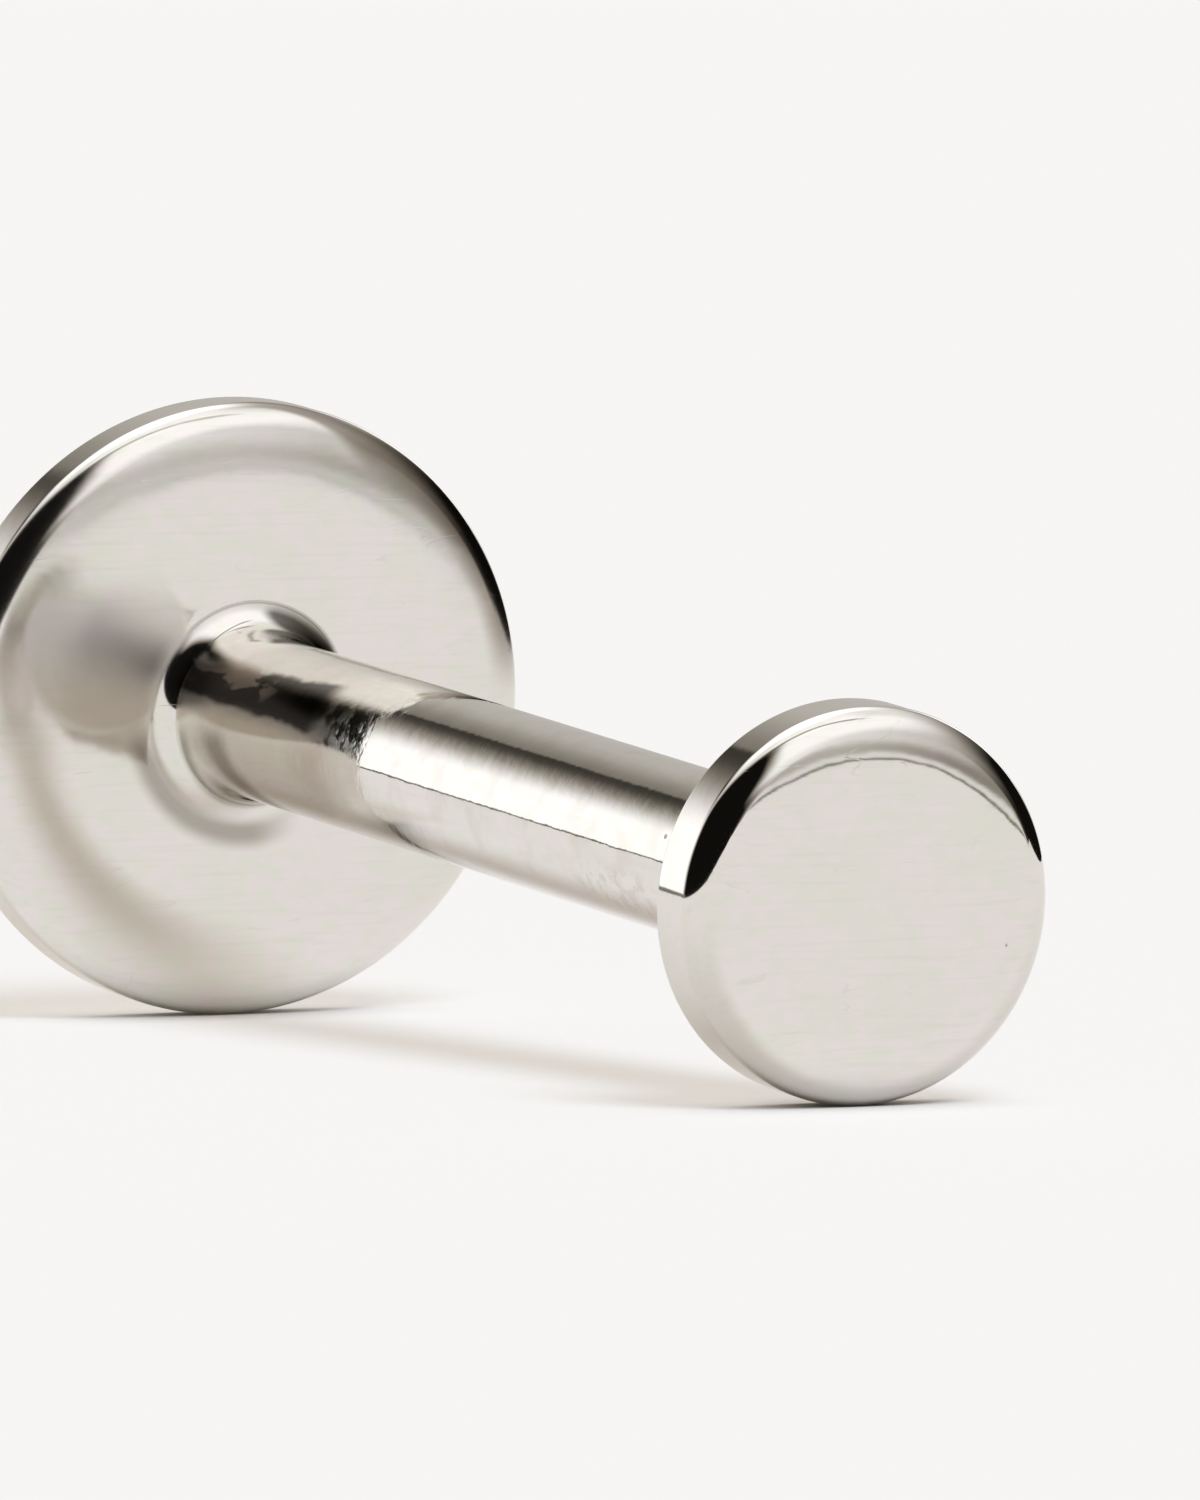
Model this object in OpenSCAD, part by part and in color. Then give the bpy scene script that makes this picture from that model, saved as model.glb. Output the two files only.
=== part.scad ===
// Labret stud: a flat back disc soldered to a hollow post, and a front disc whose pin pushes into that post.
// Lengths are in millimetres and angles in degrees.
// The stud lies on its side on a flat surface at z = 0, on the rims of both discs, with its post along +X in plan.

/* [Back disc] */
// Diameter of the back disc
back_d = 3.76; // [3.2:0.02:5]
// Height of the straight rim of the back disc
back_rim_h = 0.25; // [0.1:0.01:0.5]

/* [Front disc] */
// Diameter of the front disc
front_d = 2.36; // [2:0.02:3]
// Height of the straight rim of the front disc
front_rim_h = 0.32; // [0.1:0.01:0.6]

/* [Disc faces] */
// Radius of the rounded edge between each rim and its polished face
edge_r = 0.17; // [0.05:0.01:0.2]
// Radius of the shallow crown that runs from the rounded edge to the flat of the back disc
back_crown_r = 2.9; // [1.4:0.1:4]
// Radius of the same crown on the front disc
front_crown_r = 1.9; // [1.4:0.1:3]
// Slope at which the crown meets the rounded edge
crown_slope = 11; // [6:1:14]

/* [Post] */
// Outer diameter of the post
post_d = 1; // [0.9:0.05:1.2]
// Length of the gap between the two discs, which is the wearing length
wear_length = 8; // [6:0.5:12]
// Radius of the hollow fillet where the post meets the back disc
neck_r = 0.24; // [0.05:0.01:0.4]

/* [Bore and pin] */
// Diameter of the bore that takes the pin
bore_d = 0.6; // [0.4:0.02:0.7]
// Depth of the bore from the mouth of the post
bore_depth = 6; // [5.2:0.1:8]
// Width of the bevel at the mouth of the bore
bore_bevel = 0.06; // [0.02:0.01:0.1]
// Clearance all round the pin in its bore
pin_clearance = 0.03; // [0.02:0.01:0.05]
// Length of the pin behind the front disc
pin_length = 5; // [3:0.1:5]
// Width of the bevel at the tip of the pin
pin_bevel = 0.1; // [0.02:0.01:0.12]
// Gap between the mouth of the post and the front disc
seat_gap = 0.02; // [0.01:0.01:0.05]

/* [Hidden] */
$fn = 96;
polished = [0.8, 0.79, 0.76];

back_r = back_d / 2;
front_r = front_d / 2;
post_r = post_d / 2;
bore_r = bore_d / 2;
pin_r = bore_r - pin_clearance;

// Rise of a face above its straight rim: the rounded edge, then the crown
function face_rise(crown_r) = edge_r * cos(crown_slope) + crown_r * (1 - cos(crown_slope));

// Stations along the stud's own axis, from the rear of the back disc
back_face_s = back_rim_h + face_rise(back_crown_r);
mouth_s = back_face_s + wear_length - seat_gap;
front_rear_s = back_face_s + wear_length;
front_rim_s = front_rear_s + front_rim_h;
front_face_s = front_rim_s + face_rise(front_crown_r);

// Lying on two rims of unequal size, the axis dips towards the smaller disc
dip = atan((back_r - front_r) / (front_rim_s - back_rim_h));
axis_rest_z = back_rim_h * sin(dip) + (back_r - edge_r) * cos(dip) + edge_r;
crown_centre_r = front_r - edge_r + (edge_r - front_crown_r) * sin(crown_slope);
rearmost_x = -back_r * sin(dip);
foremost_x = (front_face_s - front_crown_r) * cos(dip) + crown_centre_r * sin(dip) + front_crown_r;
middle_x = (rearmost_x + foremost_x) / 2;

// Half section of a disc standing on its rear face: straight rim, rounded edge, shallow crown, flat face
module disc_section(disc_r, rim_h, crown_r) {
    edge_x = disc_r - edge_r;
    join_x = edge_x + edge_r * sin(crown_slope);
    flat_x = join_x - crown_r * sin(crown_slope);
    face_h = rim_h + face_rise(crown_r);
    square([disc_r, rim_h]);
    square([flat_x, face_h]);
    intersection() {
        translate([flat_x, face_h - crown_r]) circle(crown_r);
        translate([flat_x, 0]) square([join_x - flat_x, face_h]);
    }
    intersection() {
        translate([edge_x, rim_h]) circle(edge_r);
        translate([join_x, 0]) square([disc_r - join_x, face_h]);
    }
}

// Half section of the post, flared by a hollow fillet where it grows out of the back disc
module post_section() {
    square([post_r, mouth_s]);
    difference() {
        translate([0, back_face_s - back_rim_h]) square([post_r + neck_r, neck_r + back_rim_h]);
        translate([post_r + neck_r, back_face_s + neck_r]) circle(neck_r);
    }
}

// Blind bore, bevelled at its mouth
module bore() {
    translate([0, 0, mouth_s - bore_depth]) cylinder(h = bore_depth + seat_gap, r = bore_r);
    translate([0, 0, mouth_s - bore_bevel])
        cylinder(h = 2 * bore_bevel, r1 = bore_r, r2 = bore_r + 2 * bore_bevel);
}

// Moves a piece modelled along +Z onto the stud's resting axis
module lying() {
    translate([-middle_x, 0, axis_rest_z]) rotate([0, 90 + dip, 0]) children();
}

// Back disc and post, soldered into one solid
module flat_back_post() {
    color(polished) lying() difference() {
        rotate_extrude() {
            disc_section(back_r, back_rim_h, back_crown_r);
            post_section();
        }
        bore();
    }
}

// Front disc with the plain pin that is soldered to its rear
module front_disc() {
    color(polished) lying() {
        translate([0, 0, front_rear_s]) rotate_extrude() disc_section(front_r, front_rim_h, front_crown_r);
        translate([0, 0, front_rear_s - pin_length + pin_bevel])
            cylinder(h = pin_length - pin_bevel + front_rim_h, r = pin_r);
        translate([0, 0, front_rear_s - pin_length])
            cylinder(h = pin_bevel, r1 = pin_r - pin_bevel, r2 = pin_r);
    }
}

flat_back_post();
front_disc();
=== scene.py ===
"""Labret stud in polished metal, lying on its two rims on a pale floor."""
from math import atan, cos, pi, radians, sin

import bpy
from mathutils import Matrix, Vector


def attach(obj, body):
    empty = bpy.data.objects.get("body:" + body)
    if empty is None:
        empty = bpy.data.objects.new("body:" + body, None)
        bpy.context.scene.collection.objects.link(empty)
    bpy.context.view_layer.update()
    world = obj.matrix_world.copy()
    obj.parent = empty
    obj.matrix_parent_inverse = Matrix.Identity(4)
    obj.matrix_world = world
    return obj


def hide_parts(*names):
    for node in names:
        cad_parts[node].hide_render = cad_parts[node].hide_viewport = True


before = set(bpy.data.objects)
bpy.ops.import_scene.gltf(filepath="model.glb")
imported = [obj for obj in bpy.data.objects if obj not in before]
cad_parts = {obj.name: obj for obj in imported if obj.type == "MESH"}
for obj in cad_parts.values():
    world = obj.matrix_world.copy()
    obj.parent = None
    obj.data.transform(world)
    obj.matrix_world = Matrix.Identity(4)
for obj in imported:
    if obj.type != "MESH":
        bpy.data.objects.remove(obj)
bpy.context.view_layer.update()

MM = 0.001

# Sizes of the stud in millimetres, the same as the solids have
BACK_R = 1.88
BACK_RIM_H = 0.25
FRONT_R = 1.18
FRONT_RIM_H = 0.32
EDGE_R = 0.17
BACK_CROWN_R = 2.9
FRONT_CROWN_R = 1.9
CROWN_SLOPE = radians(11)
POST_R = 0.5
WEAR_LENGTH = 8.0
NECK_R = 0.24
BORE_R = 0.3
BORE_DEPTH = 6.0
BORE_BEVEL = 0.06
PIN_R = 0.27
PIN_LENGTH = 5.0
PIN_BEVEL = 0.1
SEAT_GAP = 0.02

# Stations along the stud's own axis, from the rear of the back disc
EDGE_RISE = EDGE_R * cos(CROWN_SLOPE)
BACK_RISE = EDGE_RISE + BACK_CROWN_R * (1 - cos(CROWN_SLOPE))
FRONT_RISE = EDGE_RISE + FRONT_CROWN_R * (1 - cos(CROWN_SLOPE))
BACK_FACE_S = BACK_RIM_H + BACK_RISE
FRONT_REAR_S = BACK_FACE_S + WEAR_LENGTH
MOUTH_S = FRONT_REAR_S - SEAT_GAP
FRONT_RIM_S = FRONT_REAR_S + FRONT_RIM_H
FRONT_FACE_S = FRONT_RIM_S + FRONT_RISE

# The axis dips towards the smaller disc, because the stud lies on both rims
DIP = atan((BACK_R - FRONT_R) / (FRONT_RIM_S - BACK_RIM_H))
AXIS_REST_Z = BACK_RIM_H * sin(DIP) + (BACK_R - EDGE_R) * cos(DIP) + EDGE_R
CROWN_CENTRE_R = FRONT_R - EDGE_R + (EDGE_R - FRONT_CROWN_R) * sin(CROWN_SLOPE)
REARMOST_X = -BACK_R * sin(DIP)
FOREMOST_X = (FRONT_FACE_S - FRONT_CROWN_R) * cos(DIP) + CROWN_CENTRE_R * sin(DIP) + FRONT_CROWN_R
MIDDLE_X = (REARMOST_X + FOREMOST_X) / 2

# The neck's smooth curve: how far its two inner poles and its end stand from the corner that it fills
NECK_INNER_R = 0.02
NECK_INNER_S = 0.12
NECK_END_S = 0.42

# Small bevel on sharp corners, and the distance of the close points beside each end of a straight line
BROKEN_EDGE = 0.02
GUARD = 0.004

# Steps of each round form, and the crease past which an edge stays sharp
TURNS = 384
EDGE_STEPS = 36
CROWN_STEPS = 18
NECK_STEPS = 36
SHARP_CREASE = radians(40)


# Camera

CAMERA_TURN = radians(-26.1417)
CAMERA_RISE = radians(3.4977)
CAMERA_DISTANCE = 178.894
AIM_RIGHT = 0.37906
AIM_UP = 1.8445
LENS_MM = 720
SENSOR_MM = 36
NEAREST_M = 0.005
FARTHEST_M = 10


def pointing(bearing, height):
    """Unit vector towards a bearing round the upright and a height above the floor, both in radians."""
    return Vector((cos(bearing) * cos(height), sin(bearing) * cos(height), sin(height)))


def place_camera():
    """Camera at the photograph's angle, level, close above the floor, with a long lens."""
    forward = -pointing(CAMERA_TURN, CAMERA_RISE)
    right = forward.cross(Vector((0, 0, 1))).normalized()
    up = right.cross(forward)
    bpy.ops.object.camera_add()
    camera = bpy.context.object
    camera.name = "photo_camera"
    place = (right * AIM_RIGHT + up * AIM_UP - forward * CAMERA_DISTANCE) * MM
    camera.matrix_world = Matrix.Translation(place) @ forward.to_track_quat("-Z", "Y").to_matrix().to_4x4()
    camera.data.lens = LENS_MM
    camera.data.sensor_width = SENSOR_MM
    camera.data.clip_start = NEAREST_M
    camera.data.clip_end = FARTHEST_M
    bpy.context.scene.camera = camera


# Shader maths


class Wire:
    """A socket of a node tree, so that shader maths reads as plain expressions."""

    def __init__(self, tree, socket=None):
        self.tree = tree
        self.socket = socket

    def node(self, kind, settings=None, inputs=None, output=0):
        """Adds a node, first its settings, then the values or links of its sockets."""
        made = self.tree.nodes.new(kind)
        for name, value in (settings or {}).items():
            setattr(made, name, value)
        for name, value in (inputs or {}).items():
            if isinstance(value, Wire):
                self.tree.links.new(value.socket, made.inputs[name])
            else:
                made.inputs[name].default_value = value
        return Wire(self.tree, made.outputs[output] if made.outputs else None)

    def also(self, output):
        """Another output of the node that this one comes from."""
        return Wire(self.tree, self.socket.node.outputs[output])

    def feeds(self, shader, name):
        """Links this value to a socket of the shader."""
        self.tree.links.new(self.socket, shader.inputs[name])

    def maths(self, operation, a, b=0.0, c=0.0):
        return self.node("ShaderNodeMath", {"operation": operation}, {0: a, 1: b, 2: c})

    def __add__(self, other):
        return self.maths("ADD", self, other)

    def __sub__(self, other):
        return self.maths("SUBTRACT", self, other)

    def __rsub__(self, other):
        return self.maths("SUBTRACT", other, self)

    def __mul__(self, other):
        return self.maths("MULTIPLY", self, other)

    def __truediv__(self, other):
        return self.maths("DIVIDE", self, other)

    def __pow__(self, other):
        return self.maths("POWER", self, other)

    __radd__ = __add__
    __rmul__ = __mul__

    def larger(self, other):
        return self.maths("MAXIMUM", self, other)

    def smaller(self, other):
        return self.maths("MINIMUM", self, other)

    def off(self, middle):
        """Distance from a middle value, to either side of it."""
        return self.maths("ABSOLUTE", self - middle)

    def above(self, level):
        """How far this value lies above a level, or 0 below it."""
        return (self - level).larger(0.0)

    def bearing_from(self, middle):
        """Distance in degrees from a bearing, the short way round."""
        return self.maths("ABSOLUTE", self.maths("WRAP", self - middle, 180.0, -180.0))

    def rise(self, low, high):
        """0 below low, 1 above high, with a soft step between them."""
        settings = {"interpolation_type": "SMOOTHSTEP"}
        return self.node("ShaderNodeMapRange", settings, {"Value": self, "From Min": low, "From Max": high})

    def fall(self, low, high):
        """1 below low, 0 above high, with a soft step between them."""
        return 1 - self.rise(low, high)

    def blend(self, other, share):
        """This value where the share is 0, the other where it is 1."""
        return self + (other - self) * share

    def tint(self, plain, tinted):
        """The plain colour where this share is 0, the tinted one where it is 1."""
        inputs = {"Factor": self, "A": plain, "B": tinted}
        return self.node("ShaderNodeMix", {"data_type": "RGBA"}, inputs, output="Result")

    def scaled(self, factor):
        """A vector drawn out or in by one factor."""
        return self.node("ShaderNodeVectorMath", {"operation": "SCALE"}, {0: self, "Scale": factor})

    def from_place(self, place):
        """A vector counted from another place."""
        return self.node("ShaderNodeVectorMath", {"operation": "SUBTRACT"}, {0: self, 1: place})

    def measured(self, along):
        """Length of this vector along a unit vector."""
        settings = {"operation": "DOT_PRODUCT"}
        return self.node("ShaderNodeVectorMath", settings, {0: self, 1: along}, output="Value")

    def noise(self, scale, detail):
        """Soft noise from 0 to 1 at this place."""
        return self.node("ShaderNodeTexNoise", None, {"Vector": self, "Scale": scale, "Detail": detail})


def reach(a, b):
    """Length of the two-part distance a, b."""
    return (a * a + b * b) ** 0.5


def joined(x, y, z):
    """A vector made of three values."""
    return x.node("ShaderNodeCombineXYZ", None, {0: x, 1: y, 2: z})


# What the metal mirrors, drawn by bearing and height in degrees; bearing 0 is towards the camera

PALE = (0.93, 0.922, 0.912, 1)
TENT_TONE = 0.98
DARK_ROOM = 0.006
DARK_TINT = (1, 0.92, 0.78, 1)
WHITE = (1, 1, 1, 1)

# Bearing along which the floor's edge runs away from the stud, and its fall below the horizon past it
EDGE_BEARING = 49
EDGE_FALL = 0.165


def hang_tent(towards_camera, bearing, height):
    """Pale tent with a bright soft box behind at the left, a mild one in front, and a dark ridge between."""
    back_box = reach(bearing.bearing_from(-160) / 42, (height - 56) / 22).fall(0.5, 1.25)
    front_box = reach(bearing.bearing_from(45) / 70, (height - 50) / 36).fall(0.5, 1.2)
    tent = TENT_TONE + 0.65 * back_box + 0.27 * front_box + 0.22 * height.rise(64, 76)
    ridge = towards_camera.off(0.15).fall(0.03, 0.075) * height.rise(56, 66)
    return tent * (1 - 0.6 * ridge)


def open_tent(tone, bearing, height):
    """Opens the tent to the dark room: wide at the left of the camera, and less so at the far right."""
    gap = 71 + 12 * height.fall(4, 20)
    room_left = reach(bearing.bearing_from(-50) / gap, height / 74).rise(0.88, 1.12)
    room_right = reach(bearing.bearing_from(125) / 66, height / 46).rise(0.45, 1.3)
    low_right = bearing.bearing_from(125).fall(45, 62) * height.fall(2, 16)
    tone = tone * room_left * room_right * (1 - 0.85 * low_right)
    return tone.blend(0.05, bearing.bearing_from(-138).fall(12, 24) * height.fall(33, 46))


def stand_board(tone, bearing, height):
    """Stands a grey board behind the stud, with a low light at each side of it and a seam at its foot."""
    board = bearing.bearing_from(-178).fall(25, 27.5) * height.fall(33, 37)
    tone = tone.blend(0.54 - 0.3 * bearing.bearing_from(180).rise(4, 30), board)
    left_light = bearing.rise(-152, -141) * bearing.fall(-124, -102) * height.fall(17, 33)
    tone = tone.blend(1.35, left_light)
    seam = bearing.bearing_from(-126).fall(20, 30) * height.fall(0.7, 1.1)
    tone = tone.blend(0.2, seam)
    right_light = bearing.bearing_from(163).fall(5, 9) * height.rise(3, 9) * height.fall(20, 30)
    return tone.blend(1.4, right_light)


def lay_strips(tone, bearing, height):
    """Lays what is past the floor's edge in front: a grey strip over a pale one, with a dark seam below."""
    opening = bearing.rise(31, 36) * bearing.fall(74, 84)
    over_edge = height + EDGE_FALL * bearing.above(EDGE_BEARING) - 0.6 * bearing.fall(43, 52)
    grey = 0.54 - 0.24 * bearing.rise(48, 64)
    tone = tone.blend(grey, opening * over_edge.fall(3.6, 7))
    tone = tone.blend(0.86, opening * over_edge.fall(1.3, 2.9))
    tone = tone.blend(0.24, opening * over_edge.fall(0.3, 0.8))
    return tone.blend(0.93, opening * over_edge.fall(-0.4, -0.1))


def light_studio():
    """Surroundings for the metal alone: the floor has lamps of its own, and the camera sees plain pale."""
    world = bpy.data.worlds.new("soft_studio")
    world.use_nodes = True
    bpy.context.scene.world = world
    world.cycles_visibility.diffuse = False
    tree = world.node_tree
    tree.nodes.clear()
    start = Wire(tree)
    direction = start.node("ShaderNodeTexCoord", output="Generated")
    settings = {"rotation_type": "Z_AXIS"}
    direction = start.node("ShaderNodeVectorRotate", settings, {"Vector": direction, "Angle": -CAMERA_TURN})
    towards_camera = start.node("ShaderNodeSeparateXYZ", None, {0: direction})
    bearing = start.maths("DEGREES", start.maths("ARCTAN2", towards_camera.also("Y"), towards_camera))
    height = start.maths("DEGREES", start.maths("ARCSINE", towards_camera.also("Z")))

    tone = hang_tent(towards_camera, bearing, height)
    tone = open_tent(tone, bearing, height)
    tone = stand_board(tone, bearing, height)
    tone = lay_strips(tone, bearing, height)
    tone = tone.larger(DARK_ROOM)
    warm = tone.rise(0.0, 1.0).tint(DARK_TINT, WHITE)
    mirrored = start.node("ShaderNodeBackground", None, {"Color": warm, "Strength": tone})
    seen = start.node("ShaderNodeBackground", None, {"Color": PALE, "Strength": 1.0})
    to_camera = start.node("ShaderNodeLightPath", output="Is Camera Ray")
    both = start.node("ShaderNodeMixShader", None, {0: to_camera, 1: mirrored, 2: seen})
    start.node("ShaderNodeOutputWorld", None, {"Surface": both})


# Floor and its light

FLOOR_TONE = (0.86, 0.853, 0.835, 1)
FLOOR_ROUGHNESS = 0.9
STRAY_LIGHT = (0.452, 0.435, 0.422, 1)
NO_LIGHT = (0, 0, 0, 1)
SHADE_REACH = 0.8

# Corners of the floor in millimetres, to the right of the stud and towards the camera; the first two give
# the straight edge that the front disc mirrors
FLOOR_CORNERS = ((22, 8.5), (620, 528), (300, 620), (-600, 600), (-600, -600), (600, -600), (600, 0))


def hang_lamp(name, bearing, height, spread, strength, colour):
    """Lamp for the floor alone, its angles in degrees: the metal mirrors the tent and not this lamp."""
    height = radians(height)
    towards = pointing(CAMERA_TURN + radians(bearing), height)
    bpy.ops.object.light_add(type="SUN")
    lamp = bpy.context.object
    lamp.name = name
    lamp.rotation_euler = towards.to_track_quat("Z", "Y").to_euler()
    lamp.data.energy = strength * pi / sin(height)
    lamp.data.angle = radians(spread)
    lamp.data.color = colour
    lamp.visible_glossy = False


def pale_floor():
    """Matte pale surface, with stray light of its own that only the tight gaps under the rims keep out."""
    material = bpy.data.materials.new("pale_floor")
    material.use_nodes = True
    shader = material.node_tree.nodes["Principled BSDF"]
    shader.inputs["Base Color"].default_value = FLOOR_TONE
    shader.inputs["Roughness"].default_value = FLOOR_ROUGHNESS
    shader.inputs["Specular IOR Level"].default_value = 0.0
    shader.inputs["Emission Strength"].default_value = 1.0
    gaps = {"Distance": SHADE_REACH * MM}
    openness = Wire(material.node_tree).node("ShaderNodeAmbientOcclusion", {"samples": 8}, gaps, output="AO")
    openness.rise(0.12, 0.85).tint(NO_LIGHT, STRAY_LIGHT).feeds(shader, "Emission Color")
    return material


def lay_floor():
    """Floor that fills the view and ends at the right along one straight edge, outside the view."""
    toward = pointing(CAMERA_TURN, 0)
    right = Vector((-sin(CAMERA_TURN), cos(CAMERA_TURN), 0))
    places = [(right * x + toward * y) * MM for x, y in FLOOR_CORNERS]
    bpy.ops.object.select_all(action="DESELECT")
    bpy.ops.mesh.primitive_plane_add(size=1)
    floor = bpy.context.object
    floor.name = "floor"
    bpy.ops.object.mode_set(mode="EDIT")
    bpy.ops.mesh.select_all(action="SELECT")
    bpy.ops.mesh.merge(type="CENTER")
    bpy.ops.transform.translate(value=places[0])
    for corner, following in zip(places, places[1:]):
        bpy.ops.mesh.extrude_vertices_move(TRANSFORM_OT_translate={"value": following - corner})
    bpy.ops.mesh.select_all(action="SELECT")
    bpy.ops.mesh.edge_face_add()
    bpy.ops.mesh.normals_make_consistent(inside=False)
    bpy.ops.object.mode_set(mode="OBJECT")
    floor.data.materials.append(pale_floor())


# Turning


class Turning:
    """A half section drawn point by point as on a lathe, in millimetres, then spun round the axis."""

    def __init__(self, name, r, s):
        bpy.ops.object.select_all(action="DESELECT")
        bpy.ops.mesh.primitive_plane_add(size=1, location=(0, 0, 0))
        self.piece = bpy.context.object
        self.piece.name = name
        bpy.ops.object.mode_set(mode="EDIT")
        bpy.ops.mesh.select_all(action="SELECT")
        bpy.ops.mesh.merge(type="CENTER")
        bpy.ops.transform.translate(value=(r, 0, s))
        self.r = r
        self.s = s

    def point(self, r, s):
        """Next point of the section."""
        step = (r - self.r, 0, s - self.s)
        bpy.ops.mesh.extrude_vertices_move(TRANSFORM_OT_translate={"value": step})
        self.r = r
        self.s = s

    def line(self, r, s):
        """Straight line with a close point at each end, so that shading stays true along it."""
        start = Vector((self.r, self.s))
        end = Vector((r, s))
        step = (end - start).normalized() * GUARD
        for place in (start + step, end - step, end):
            self.point(*place)

    def arc(self, centre_r, centre_s, angle, steps):
        """Arc round a centre; a positive angle turns from the axis direction towards the rim."""
        bpy.ops.mesh.spin(steps=steps, angle=-angle, center=(centre_r, 0, centre_s), axis=(0, 1, 0))
        dr = self.r - centre_r
        ds = self.s - centre_s
        self.r = centre_r + dr * cos(angle) + ds * sin(angle)
        self.s = centre_s - dr * sin(angle) + ds * cos(angle)

    def curve(self, poles, steps):
        """Smooth curve drawn from its first pole towards its last, with two poles between."""
        for step in range(1, steps + 1):
            t = step / steps
            shares = ((1 - t) ** 3, 3 * t * (1 - t) ** 2, 3 * t ** 2 * (1 - t), t ** 3)
            r, s = (sum(share * pole[k] for share, pole in zip(shares, poles)) for k in (0, 1))
            self.point(r, s)

    def broken_corner(self, r, s, towards_r, towards_s):
        """Line to a corner whose edge is broken by a small bevel, on the way to the next point."""
        corner = Vector((r, s))
        back = (Vector((self.r, self.s)) - corner).normalized() * BROKEN_EDGE
        ahead = (Vector((towards_r, towards_s)) - corner).normalized() * BROKEN_EDGE
        self.line(*(corner + back))
        for share in (0.15, 0.5, 0.85):
            place = corner + back * (1 - share) ** 2 + ahead * share ** 2
            self.point(*place)
        self.point(*(corner + ahead))

    def spin(self):
        """Spins the section round the axis and lays the piece where the stud lies."""
        bpy.ops.mesh.select_all(action="SELECT")
        bpy.ops.mesh.spin(steps=TURNS, angle=2 * pi, center=(0, 0, 0), axis=(0, 0, 1))
        bpy.ops.mesh.select_all(action="SELECT")
        bpy.ops.mesh.remove_doubles(threshold=1e-5)
        bpy.ops.mesh.normals_make_consistent(inside=False)
        bpy.ops.object.mode_set(mode="OBJECT")
        self.piece.scale = (MM, MM, MM)
        self.piece.rotation_euler = (0, pi / 2 + DIP, 0)
        self.piece.location = (-MIDDLE_X * MM, 0, AXIS_REST_Z * MM)
        bpy.ops.object.transform_apply(location=True, rotation=True, scale=True)
        bpy.ops.object.shade_smooth_by_angle(angle=SHARP_CREASE)
        return self.piece


def turn_disc(turning, disc_r, rear_s, rim_h, crown_r):
    """Rim, rounded edge and crown of a disc, from its rear corner to the flat of its face."""
    rim_s = rear_s + rim_h
    edge_x = disc_r - EDGE_R
    crown_x = edge_x + (EDGE_R - crown_r) * sin(CROWN_SLOPE)
    crown_s = rim_s + EDGE_RISE - crown_r * cos(CROWN_SLOPE)
    turning.broken_corner(disc_r, rear_s, disc_r, rim_s)
    turning.line(disc_r, rim_s)
    turning.arc(edge_x, rim_s, CROWN_SLOPE - pi / 2, EDGE_STEPS)
    turning.arc(crown_x, crown_s, -CROWN_SLOPE, CROWN_STEPS)


def model_flat_back_post():
    """Back disc and hollow post in one piece, bored from the mouth."""
    turning = Turning("polished_flat_back_post", 0, 0)
    turn_disc(turning, BACK_R, 0, BACK_RIM_H, BACK_CROWN_R)
    neck_foot = (POST_R + NECK_R, BACK_FACE_S)
    neck_end = (POST_R, BACK_FACE_S + NECK_END_S)
    inner_poles = ((POST_R + NECK_INNER_R, BACK_FACE_S), (POST_R, BACK_FACE_S + NECK_INNER_S))
    turning.line(*neck_foot)
    turning.curve((neck_foot, *inner_poles, neck_end), NECK_STEPS)
    turning.broken_corner(POST_R, MOUTH_S, BORE_R, MOUTH_S)
    turning.line(BORE_R + BORE_BEVEL, MOUTH_S)
    turning.line(BORE_R, MOUTH_S - BORE_BEVEL)
    turning.line(BORE_R, MOUTH_S - BORE_DEPTH)
    turning.line(0, MOUTH_S - BORE_DEPTH)
    return turning.spin()


def model_front_disc():
    """Front disc with the plain pin behind it."""
    tip_s = FRONT_REAR_S - PIN_LENGTH
    turning = Turning("polished_front_disc", 0, tip_s)
    turning.line(PIN_R - PIN_BEVEL, tip_s)
    turning.line(PIN_R, tip_s + PIN_BEVEL)
    turning.line(PIN_R, FRONT_REAR_S)
    turn_disc(turning, FRONT_R, FRONT_REAR_S, FRONT_RIM_H, FRONT_CROWN_R)
    turning.line(0, FRONT_FACE_S)
    return turning.spin()


# Finish

# Tones of the clean metal, which drifts from a greener to a pinker white
GREENER_WHITE = (0.757, 0.752, 0.682, 1)
PINKER_WHITE = (0.797, 0.747, 0.73, 1)

# Tones of what lies on the metal, and of the shade and reflections painted onto it
WIPE_MARK = (0.68, 0.655, 0.6, 1)
BLOTCH = (0.69, 0.65, 0.6, 1)
HEAT_TAN = (0.66, 0.6, 0.53, 1)
# Painted dark reflection along the joint and on the neck
PAINTED_JOINT_REFLECTION = (0.042, 0.031, 0.024, 1)
BROWN_FLUX = (0.55, 0.45, 0.36, 1)
MOTTLE = (0.5, 0.46, 0.41, 1)
# Haze, tinted with a painted brown reflection
HAZE_AND_REFLECTION = (0.58, 0.52, 0.43, 1)
# Painted shade at the foot of the neck
PAINTED_FOOT_SHADE = (0.3, 0.27, 0.23, 1)
# Painted dark reflection along the back disc's upper right edge
PAINTED_EDGE_REFLECTION = (0.26, 0.21, 0.17, 1)
# Painted shade under the joint and the post
PAINTED_UNDERSIDE_SHADE = (0.42, 0.355, 0.305, 1)
# Painted reflection of the floor's shadow on the back disc's crown
PAINTED_CROWN_REFLECTION = (0.6, 0.56, 0.49, 1)
# Painted shade on the front disc's lower rim
PAINTED_RIM_SHADE = (0.5, 0.45, 0.395, 1)
PIT = (0.3, 0.26, 0.22, 1)

# Roughness of the dullest mark, and how many cells per millimetre may hold a pinhole
DULLEST = 0.26
CELLS_PER_MM = 3.2


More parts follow.
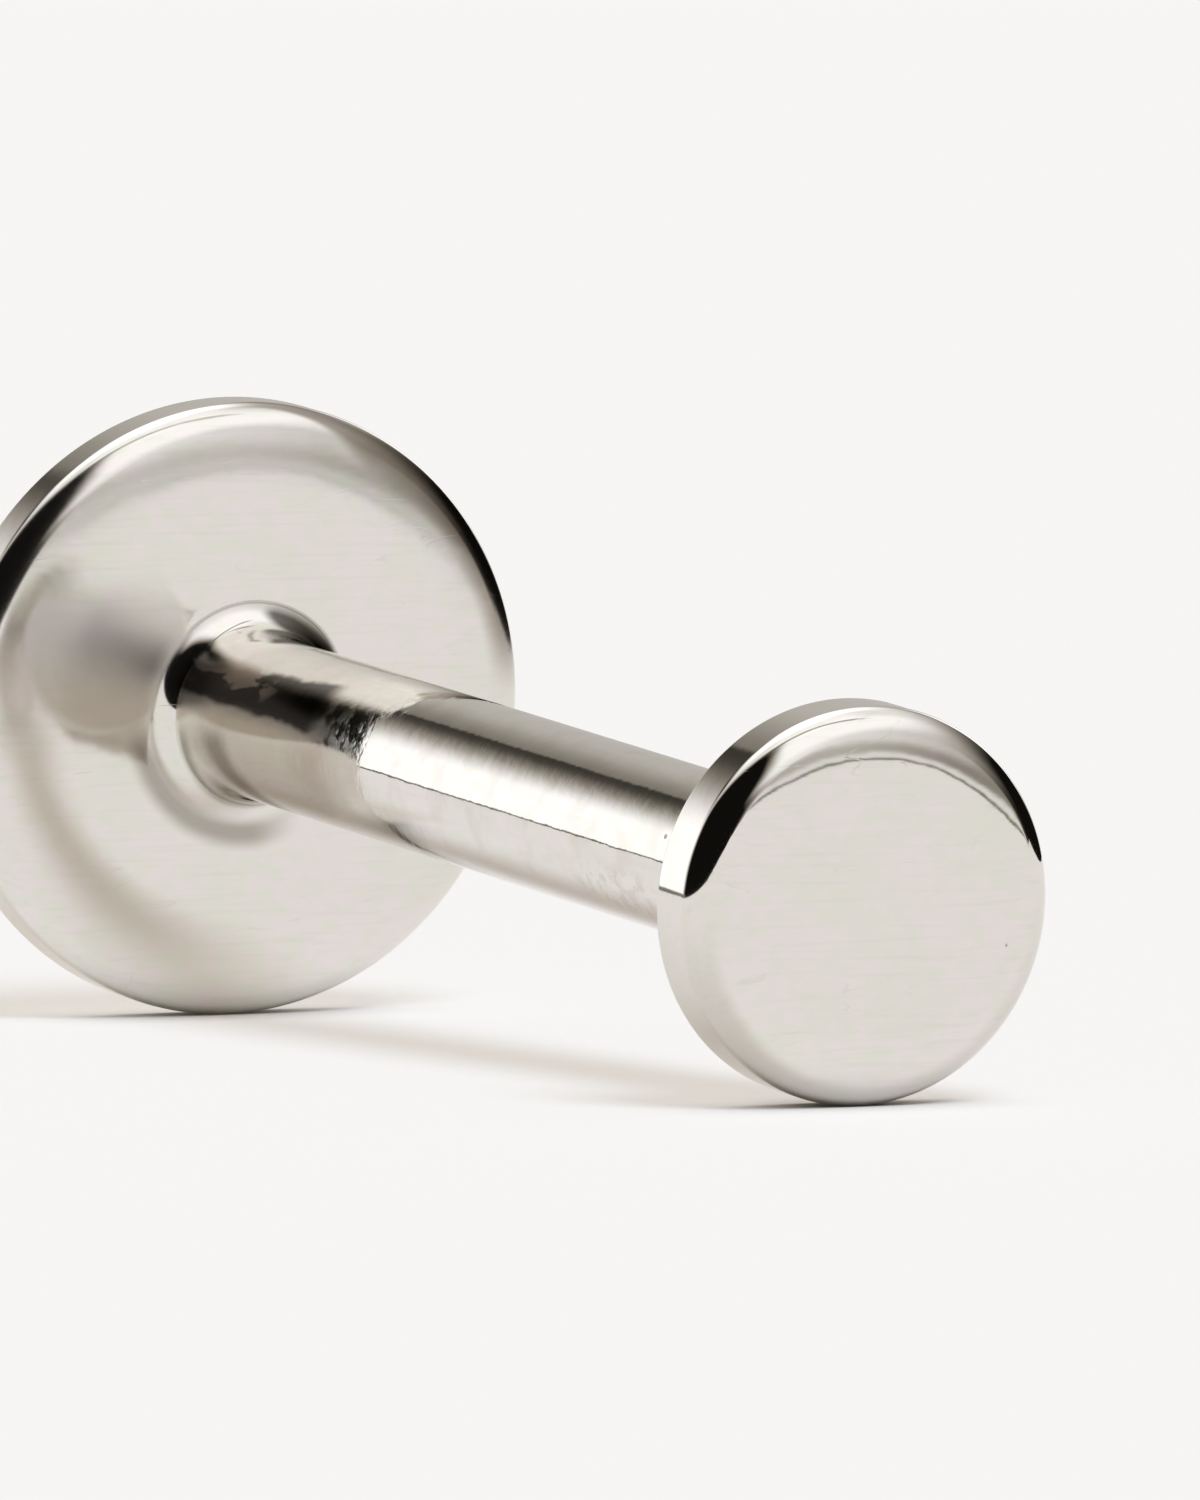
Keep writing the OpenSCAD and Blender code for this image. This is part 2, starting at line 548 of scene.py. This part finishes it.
class Spot:
    """Where a point of the metal lies on the stud: lengths in millimetres, the turn round it in degrees."""

    def __init__(self, tree):
        start = Wire(tree)
        place = start.node("ShaderNodeTexCoord", output="Object").scaled(1 / MM)
        self.place = place.from_place((-MIDDLE_X, 0, AXIS_REST_Z))
        self.along = self.place.measured((cos(DIP), 0, -sin(DIP)))
        self.side = self.place.measured((0, 1, 0))
        self.up = self.place.measured((sin(DIP), 0, cos(DIP)))
        self.out = reach(self.side, self.up)
        self.turn = start.maths("DEGREES", start.maths("ARCTAN2", self.up, 0.0 - self.side))

        # What is as slim as the neck, the post, the back disc, the front side of that disc, and the joint
        self.slim = self.out.fall(0.7, 0.76)
        self.post = self.out.fall(0.56, 0.7) * self.along.rise(0.5, 0.7) * self.along.fall(8.4, 8.5)
        self.back = self.along.fall(0.5, 1.1)
        self.back_face = self.along.rise(0.2, 0.3) * self.along.fall(0.5, 0.62)
        self.joint = self.slim * self.along.rise(0.62, 0.9) * self.along.fall(2.2, 3.1)


def polishing_marks(spot, blotch):
    """Fine marks, drawn across the discs and along the post, and a few hair scratches on the discs."""
    along, side, up, post = spot.along, spot.side, spot.up, spot.post
    wiped = joined(side * 1.4, up * 30.0, along * 30.0).noise(1.0, 4.0)
    drawn = joined(along * 1.1, side * 16.0, up * 16.0).noise(1.0, 4.0)
    marks = wiped.blend(drawn, post)
    hair = joined(side * 0.5 + up * 0.1, up * 3.6 - side * 0.5, along).noise(1.0, 2.0)
    hair = hair.off(0.5).fall(0.0, 0.004) * blotch.rise(0.5, 0.62) * (1 - post)
    return marks, hair


def pinholes(spot):
    """One pinhole in the front face, and a few on the post."""
    front = reach(spot.side - 0.86, spot.up + 0.23).fall(0.002, 0.013) * spot.along.rise(8.7, 8.8)
    inputs = {"Vector": spot.place, "Scale": CELLS_PER_MM}
    cell = spot.place.node("ShaderNodeTexVoronoi", None, inputs, output="Distance")
    chosen = cell.also("Color").measured((1, 0, 0)).rise(0.72, 0.74)
    return front + cell.fall(0.03, 0.06) * chosen * spot.post


def joint_painted_reflection(spot):
    """Painted dark reflection: a black band along the joint, from the neck to the joint's end, and a black
    patch on top of the neck.
    """
    along, turn = spot.along, spot.turn
    ragged = turn + 10 * spot.place.noise(5.0, 3.0) - 5
    band = ragged.rise(15, 20) * (ragged - 10 * along).fall(31, 37)
    band = band * along.rise(0.5, 0.58) * along.fall(2.2, 2.45) * spot.slim
    patch = reach((turn - 122) / 30, (spot.out - 0.62) / 0.11).fall(0.65, 1.0)
    patch = patch * along.rise(0.47, 0.49) * along.fall(0.75, 0.95)
    return 0.95 * band + 0.85 * patch


def brown_flux(spot):
    """Brown spots of flux on the joint, above the black band of painted reflection."""
    spots = joined(spot.along * 3.0, spot.side * 7.0, spot.up * 7.0).noise(1.0, 5.0)
    around = reach((spot.along - 1.1) / 0.7, (spot.turn - 37) / 18).fall(0.4, 1.1)
    return around * spot.out.fall(0.6, 0.68) * spots.rise(0.48, 0.56)


def joint_scuffs(spot):
    """Scuffs on the post where the black band of painted reflection ends."""
    around = reach((spot.along - 2.6) / 0.55, (spot.turn - 30) / 40).fall(0.3, 1.0)
    return around * spot.place.noise(9.0, 3.0).rise(0.46, 0.62)


def underside_painted_shade(spot):
    """Painted shade, brown, low on the joint, and thinner along the whole underside of the post, where the
    metal mirrors the shaded floor.
    """
    return (spot.joint * spot.turn.fall(-45, 25)).larger(0.8 * spot.post * spot.turn.fall(-52, -18))


def joint_haze_and_reflection(spot):
    """Hazy lobe on the front of the back disc, left of the joint: real haze in its dullness, and a painted
    brown reflection in its colour.
    """
    lobe = reach((spot.side + 0.98) / 0.57, (spot.up - 0.46) / 0.6).fall(0.84, 1.0) * spot.up.fall(0.4, 1.0)
    return lobe * spot.back_face * spot.out.rise(0.62, 0.7)


def neck_foot_painted_shade(spot):
    """Painted shade in the corner where the neck's lower left meets the disc."""
    ring = spot.out.rise(0.62, 0.72) * spot.out.fall(0.75, 0.87)
    return ring * spot.side.fall(0.0, 0.4) * spot.up.fall(-0.3, 0.0) * spot.back_face


def edge_painted_reflection(spot):
    """Painted dark reflection: a dark line along the rounded edge at the upper right of the back disc."""
    line = ((spot.along - 0.3 - 0.085 * spot.side.rise(0.0, 0.8)) / 0.055) ** 2.0
    line = line.fall(0.2, 1.0) * spot.out.rise(1.6, 1.65)
    return line * spot.up.rise(0.0, 0.5) * spot.side.rise(-0.25, 0.1)


def crown_painted_reflection(spot):
    """Painted reflection of the floor's shadow: a band round the crown at the lower left of the back disc.
    """
    ring = spot.out.off(1.43).fall(0.0, 0.24)
    return ring * spot.side.fall(-1.1, 0.1) * spot.up.fall(-0.3, 0.4) * spot.back_face


def lower_rim_painted_shade(spot):
    """Painted shade on the lower rim of the front disc, where it mirrors the shaded floor, stronger at its
    left.
    """
    lower = spot.out.rise(1.0, 1.1) * spot.along.rise(8.3, 8.4) * spot.up.fall(-0.85, 0.1)
    return lower * (0.45 + 0.55 * spot.side.fall(-0.9, 0.2))


def post_mottle(spot):
    """Mottled patch low on the post, near the front disc."""
    around = reach((spot.along - 6.5) / 0.75, (spot.turn + 28) / 26).fall(0.4, 1.0) * spot.post
    return around * spot.place.noise(11.0, 3.0).rise(0.5, 0.58)


def polished_metal():
    """Warm white metal, mirror polished by hand, softer on the back disc and stained at its joint, with
    shade and dark reflections painted onto it in places.
    """
    material = bpy.data.materials.new("polished_metal")
    material.use_nodes = True
    tree = material.node_tree
    shader = tree.nodes["Principled BSDF"]
    spot = Spot(tree)
    post = spot.post

    # Large soft clouds, smears and blotches left by the polishing cloth, orange peel and fine grain
    cloud = spot.place.noise(1.7, 3.0)
    blotch = spot.place.noise(4.5, 2.0)
    smear = joined(spot.side * 7.0, spot.up * 11.0, spot.along * 11.0).noise(1.0, 4.0)
    peel = spot.place.noise(13.0, 2.0)
    grain = spot.place.noise(38.0, 2.0)

    marks, hair = polishing_marks(spot, blotch)
    pits = pinholes(spot)
    flux = brown_flux(spot)
    scuff = joint_scuffs(spot)
    haze_and_reflection = joint_haze_and_reflection(spot)
    mottle = post_mottle(spot)

    # Colour: the clean metal, then each tone over it by its share; some tones are painted shade and painted
    # reflections
    layers = (
        (0.3 * marks.rise(0.5, 0.75) + 0.5 * hair, WIPE_MARK),
        (0.6 * post * blotch.rise(0.45, 0.7), BLOTCH),
        (spot.joint * (0.45 + 0.5 * (blotch - 0.5)), HEAT_TAN),
        # Painted dark reflection: black band along the joint and patch on the neck
        (joint_painted_reflection(spot), PAINTED_JOINT_REFLECTION),
        (0.85 * flux, BROWN_FLUX),
        (0.35 * mottle, MOTTLE),
        # Haze with a painted brown reflection, darker towards the lobe's lower edge
        (0.9 * haze_and_reflection * spot.up.fall(-0.05, 0.65), HAZE_AND_REFLECTION),
        # Painted shade at the foot of the neck
        (0.75 * neck_foot_painted_shade(spot), PAINTED_FOOT_SHADE),
        # Painted dark reflection along the back disc's upper right edge
        (0.8 * edge_painted_reflection(spot), PAINTED_EDGE_REFLECTION),
        # Painted shade under the joint and the post
        (0.85 * underside_painted_shade(spot), PAINTED_UNDERSIDE_SHADE),
        # Painted reflection of the floor's shadow on the back disc's crown
        (0.65 * crown_painted_reflection(spot), PAINTED_CROWN_REFLECTION),
        # Painted shade on the front disc's lower rim
        (0.65 * lower_rim_painted_shade(spot), PAINTED_RIM_SHADE),
        (0.6 * pits, PIT),
    )
    colour = (0.45 * cloud + 0.55 * smear).rise(0.4, 0.6).tint(GREENER_WHITE, PINKER_WHITE)
    for share, tone in layers:
        colour = share.tint(colour, tone)
    colour.feeds(shader, "Base Color")

    # Roughness: nearly a mirror at the front, softer at the back, duller at every mark
    rough = 0.03 + 0.03 * cloud + 0.05 * (marks - 0.4) + 0.05 * hair
    rough = rough + spot.back * (0.03 + 0.05 * spot.out.rise(1.0, 1.7))
    rough = rough + 0.28 * haze_and_reflection + 0.3 * flux + 0.1 * scuff + 0.14 * mottle + 0.25 * pits
    rough.smaller(DULLEST).feeds(shader, "Roughness")
    (1 - 0.18 * haze_and_reflection).feeds(shader, "Metallic")

    # Relief in millimetres: waves of the hand polish, orange peel on the post, marks, scuffs and pinholes
    relief = 0.0022 * cloud + 0.0003 * blotch + marks * (0.00004 + 0.00012 * post) - 0.0001 * hair
    relief = relief + post * 0.0006 * peel + grain * (0.0006 * scuff + 0.0003 * flux + 0.0005 * mottle)
    relief = relief - 0.0008 * mottle - 0.002 * pits
    bump = relief.node("ShaderNodeBump", None, {"Strength": 1.0, "Distance": MM, "Height": relief})
    bump.feeds(shader, "Normal")
    return material


def main():
    bpy.context.scene.view_settings.view_transform = "Standard"
    place_camera()
    light_studio()
    hang_lamp("sky_lamp", bearing=0, height=90, spread=180, strength=0.3, colour=(1.08, 0.985, 0.86))
    hang_lamp("key_lamp", bearing=30, height=53, spread=28, strength=0.27, colour=(0.87, 1, 1.19))
    lay_floor()
    metal = polished_metal()
    back = model_flat_back_post()
    back.data.materials.append(metal)
    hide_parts("flat_back_post")
    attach(back, "post")
    front = model_front_disc()
    front.data.materials.append(metal)
    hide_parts("front_disc")
    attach(front, "top")


main()
